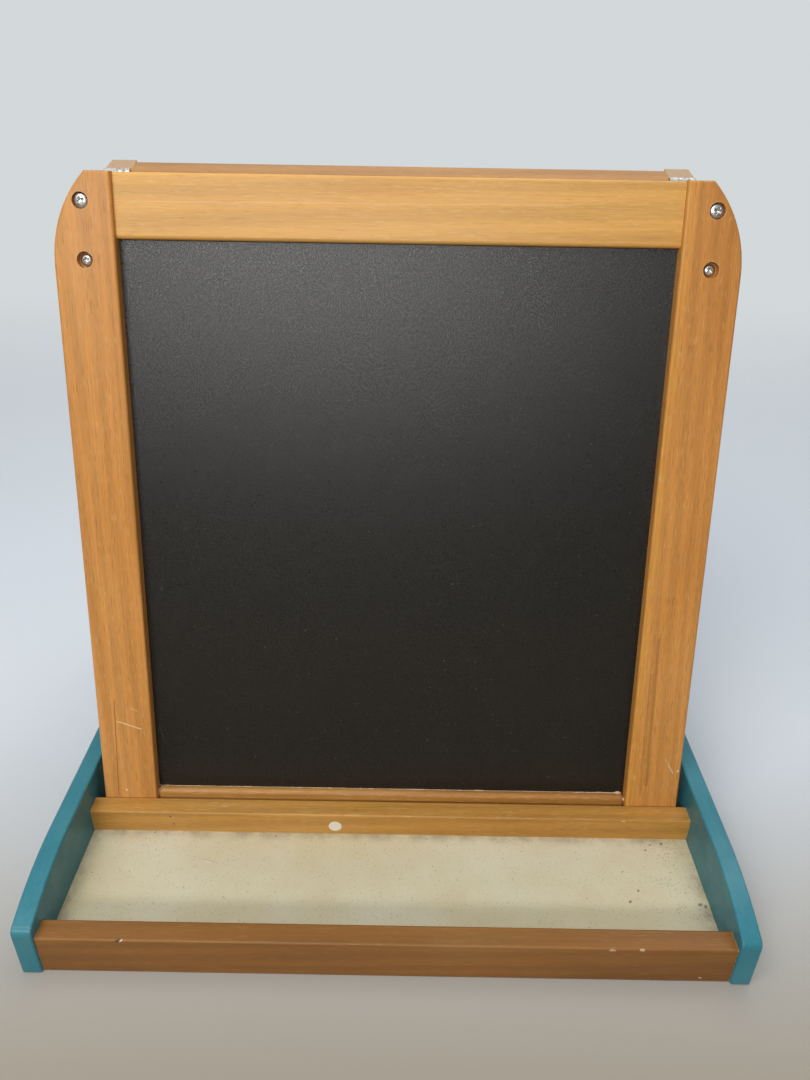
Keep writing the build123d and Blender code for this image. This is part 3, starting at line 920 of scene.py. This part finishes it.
def studioMaterial():
    # warm and darker in front of the easel, a painted shade that the chalkboard's lower part also reflects;
    # far behind it the floor turns into an even pale ground
    material, tree, shader = newMaterial("studioPaper", 0.9)
    shader.inputs["Specular IOR Level"].default_value = 0.1
    glow = tree.nodes.new("ShaderNodeEmission")
    glow.inputs["Color"].default_value = (*studio["wall"], 1)
    depth = splitAxes(tree, place(tree))[1]
    # the painted shade in front fades into the pale floor between these two depths
    back = spread(tree, depth, *studio["nearEdge"])
    link(tree, blendColour(tree, back, studio["near"], studio["floor"]), shader.inputs["Base Color"])
    far = spread(tree, depth, *studio["farEdge"])
    paths = tree.nodes.new("ShaderNodeLightPath").outputs
    seen = calc(tree, "MAXIMUM", paths["Is Glossy Ray"], paths["Is Transmission Ray"])
    seen = calc(tree, "MAXIMUM", paths["Is Camera Ray"], seen)
    mix = tree.nodes.new("ShaderNodeMixShader")
    link(tree, calc(tree, "MULTIPLY", far, seen), mix.inputs[0])
    link(tree, shader.outputs[0], mix.inputs[1])
    link(tree, glow.outputs[0], mix.inputs[2])
    link(tree, mix.outputs[0], tree.nodes["Material Output"].inputs["Surface"])
    return material


def buildStudio():
    # profile of y and z carried along x: flat floor, quarter round, upright wall
    bend = studio["bend"]
    turn = np.linspace(0, np.pi / 2, 24)
    start, reach = studio["wallStart"], studio["reach"]
    y = np.concatenate([[-reach], start + bend * np.sin(turn), [start + bend]])
    z = np.concatenate([[0.0], bend - bend * np.cos(turn), [reach]])
    x = np.array([-studio["halfWidth"], studio["halfWidth"]])
    count = len(y)
    points = np.stack([np.repeat(x, count), np.tile(y, 2), np.tile(z, 2)], axis=1)
    i = np.arange(count - 1)
    faces = np.stack([i, i + count, i + count + 1, i + 1], axis=1)
    mesh = bpy.data.meshes.new("studioSweep")
    mesh.from_pydata(points.tolist(), [], faces.tolist())
    mesh.polygons.foreach_set("use_smooth", np.ones(len(faces), dtype=bool))
    mesh.materials.append(studioMaterial())
    sweep = bpy.data.objects.new("studioSweep", mesh)
    bpy.context.scene.collection.objects.link(sweep)


buildStudio()


# Each lamp: place, aim, size, power and colour; the long low one ahead gives the chalkboard its sheen
lamps = {
    "windowAhead": ((-0.45, -2.4, 1.38), (0, 0, 0.35), (1.9, 0.32), 30, (1.0, 0.99, 0.97)),
    "windowAbove": ((-0.45, -0.80, 1.50), (0, 0, 0.35), (0.8, 0.6), 9, (1.0, 1.0, 1.0)),
    "ceiling": ((0.3, 0.9, 2.6), (0, 0, 0.0), (2.4, 2.0), 26, (0.96, 0.98, 1.0)),
}


def addLamp(name, spot, aim, size, power, colour):
    # an area lamp turned so that it faces its aim
    lamp = bpy.data.lights.new(name, "AREA")
    lamp.shape = "RECTANGLE"
    lamp.size, lamp.size_y = size
    lamp.energy = power
    lamp.color = colour
    back = np.array(spot, dtype=float) - np.array(aim, dtype=float)
    back = back / np.linalg.norm(back)
    side = np.cross((0, 0, 1), back)
    side = side / np.linalg.norm(side)
    whole = np.eye(4)
    whole[:3, :3] = np.stack([side, np.cross(back, side), back], axis=1)
    whole[:3, 3] = spot
    item = bpy.data.objects.new(name, lamp)
    item.matrix_world = Matrix(whole.tolist())
    bpy.context.scene.collection.objects.link(item)


for lampName, lampValues in lamps.items():
    addLamp(lampName, *lampValues)

roomLight = {"low": (0.22, 0.21, 0.20), "high": (0.72, 0.78, 0.84), "strength": 0.6}


def buildWorld():
    # brighter overhead than at the horizon
    world = bpy.data.worlds.new("room")
    bpy.context.scene.world = world
    world.use_nodes = True
    tree = world.node_tree
    ground = tree.nodes["Background"]
    upward = splitAxes(tree, tree.nodes.new("ShaderNodeTexCoord").outputs["Generated"])[2]
    colour = blendColour(tree, spread(tree, upward, -0.1, 0.9), roomLight["low"], roomLight["high"])
    link(tree, colour, ground.inputs["Color"])
    ground.inputs["Strength"].default_value = roomLight["strength"]


buildWorld()

# The fitted view; focal and tall are in pixels of the 810 x 1080 photograph, angles in degrees
photoView = {
    "place": (0.00833, -0.63235, 0.56219),
    "pitch": 29.470,
    "yaw": -0.015,
    "roll": -0.967,
    "focal": 811.0,
    "tall": 1080.0,
}


def buildCamera():
    # a camera matrix from pitch, yaw and roll: columns are right, up and backwards
    pitch, yaw, roll = (math.radians(photoView[key]) for key in ("pitch", "yaw", "roll"))
    ahead = np.array([math.sin(yaw) * math.cos(pitch), math.cos(yaw) * math.cos(pitch), -math.sin(pitch)])
    right = np.array([math.cos(yaw), -math.sin(yaw), 0.0])
    down = np.cross(ahead, right)
    across = math.cos(roll) * right + math.sin(roll) * down
    below = -math.sin(roll) * right + math.cos(roll) * down
    lens = bpy.data.cameras.new("photoCamera")
    lens.sensor_width = 36.0
    lens.lens = photoView["focal"] * lens.sensor_width / photoView["tall"]
    lens.clip_start = 0.02
    lens.clip_end = 60
    whole = np.eye(4)
    whole[:3, :3] = np.stack([across, -below, -ahead], axis=1)
    whole[:3, 3] = photoView["place"]
    item = bpy.data.objects.new("photoCamera", lens)
    item.matrix_world = Matrix(whole.tolist())
    bpy.context.scene.collection.objects.link(item)
    bpy.context.scene.camera = item


buildCamera()
bpy.context.scene.view_settings.view_transform = "Standard"
print("studio done")
